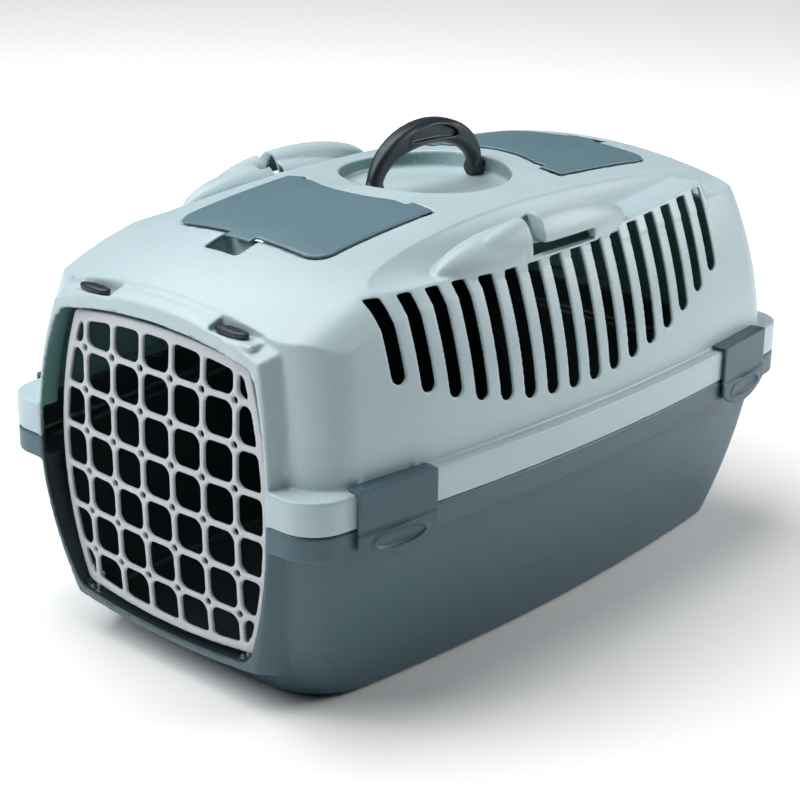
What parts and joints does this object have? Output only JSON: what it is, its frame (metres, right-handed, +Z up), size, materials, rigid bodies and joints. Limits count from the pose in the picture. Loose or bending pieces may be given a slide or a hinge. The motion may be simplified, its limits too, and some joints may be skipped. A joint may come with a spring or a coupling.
{
  "type": "pet transport carrier",
  "caption": "Moulded plastic pet carrier: tub and roof shells clipped together, grille door, roof lids, folding carry handle, side vents and belt hooks.",
  "frame": {"origin": "on the floor, under the middle of the bounding box", "axes": "+Z up, -Y towards the door, +X to the right of someone who looks at the door"},
  "size_m": [0.3938, 0.614, 0.394],
  "materials": {
    "upper_plastic": "satin moulded plastic, pale grey green",
    "lower_plastic": "fine grained moulded plastic, dark petrol grey",
    "door_plastic": "satin moulded plastic, light lilac grey",
    "pin_plastic": "smooth moulded plastic",
    "lid_plastic": "satin moulded plastic, slate",
    "clip_plastic": "satin moulded plastic, petrol grey",
    "trim_plastic": "satin moulded plastic, anthracite",
    "foot_rubber": "soft light grey pads"
  },
  "bodies": {
    "carrier": {"lower_shell": "lower_plastic", "upper_shell": "upper_plastic", "foot_front_left": "foot_rubber", "foot_front_right": "foot_rubber", "foot_rear_left": "foot_rubber", "foot_rear_right": "foot_rubber"},
    "right_pivot": {"door_pin_upper_right": "pin_plastic", "door_pin_lower_right": "pin_plastic"},
    "door": {"front_door": "door_plastic", "door_pin_upper_left": "pin_plastic", "door_pin_lower_left": "pin_plastic"},
    "release_left": {"door_release_left": "trim_plastic"},
    "release_right": {"door_release_right": "trim_plastic"},
    "lid_front": {"roof_lid_front": "lid_plastic"},
    "lid_rear": {"roof_lid_rear": "lid_plastic"},
    "handle": {"carry_handle": "trim_plastic"},
    "clip_fl": {"clip_front_left": "clip_plastic"},
    "clip_fr": {"clip_front_right": "clip_plastic"},
    "clip_rl": {"clip_rear_left": "clip_plastic"},
    "clip_rr": {"clip_rear_right": "clip_plastic"}
  },
  "joints": [
    {"name": "door_left_hinge", "type": "hinge", "parent": "carrier", "child": "right_pivot", "pos_m": [-0.088, -0.286, 0.16], "axis": [0, 0, -1], "range_deg": [0, 110]},
    {"name": "door_right_hinge", "type": "hinge", "parent": "right_pivot", "child": "door", "pos_m": [0.088, -0.286, 0.16], "axis": [0, 0, 1], "range_deg": [0, 110]},
    {"name": "release_left_slide", "type": "slide", "parent": "carrier", "child": "release_left", "axis": [1, 0, 0], "range_m": [0, 0.008]},
    {"name": "release_right_slide", "type": "slide", "parent": "carrier", "child": "release_right", "axis": [1, 0, 0], "range_m": [0, 0.008]},
    {"name": "lid_front_hinge", "type": "hinge", "parent": "carrier", "child": "lid_front", "pos_m": [0, -0.0795, 0.34499], "axis": [-1, 0, 0], "range_deg": [0, 85]},
    {"name": "lid_rear_hinge", "type": "hinge", "parent": "carrier", "child": "lid_rear", "pos_m": [0, 0.0895, 0.34653], "axis": [1, 0, 0], "range_deg": [0, 85]},
    {"name": "handle_hinge", "type": "hinge", "parent": "carrier", "child": "handle", "pos_m": [0, 0.005, 0.3435], "axis": [0, 1, 0], "range_deg": [-75, 75]},
    {"name": "clip_front_left_hinge", "type": "hinge", "parent": "carrier", "child": "clip_fl", "pos_m": [-0.17626, -0.22813, 0.1948], "axis": [-0.1148, 0.9934, 0], "range_deg": [0, 80]},
    {"name": "clip_front_right_hinge", "type": "hinge", "parent": "carrier", "child": "clip_fr", "pos_m": [0.17626, -0.22813, 0.1948], "axis": [-0.1148, -0.9934, 0], "range_deg": [0, 80]},
    {"name": "clip_rear_left_hinge", "type": "hinge", "parent": "carrier", "child": "clip_rl", "pos_m": [-0.17717, 0.22016, 0.1948], "axis": [0.1108, 0.9938, 0], "range_deg": [0, 80]},
    {"name": "clip_rear_right_hinge", "type": "hinge", "parent": "carrier", "child": "clip_rr", "pos_m": [0.17717, 0.22016, 0.1948], "axis": [0.1108, -0.9938, 0], "range_deg": [0, 80]}
  ]
}
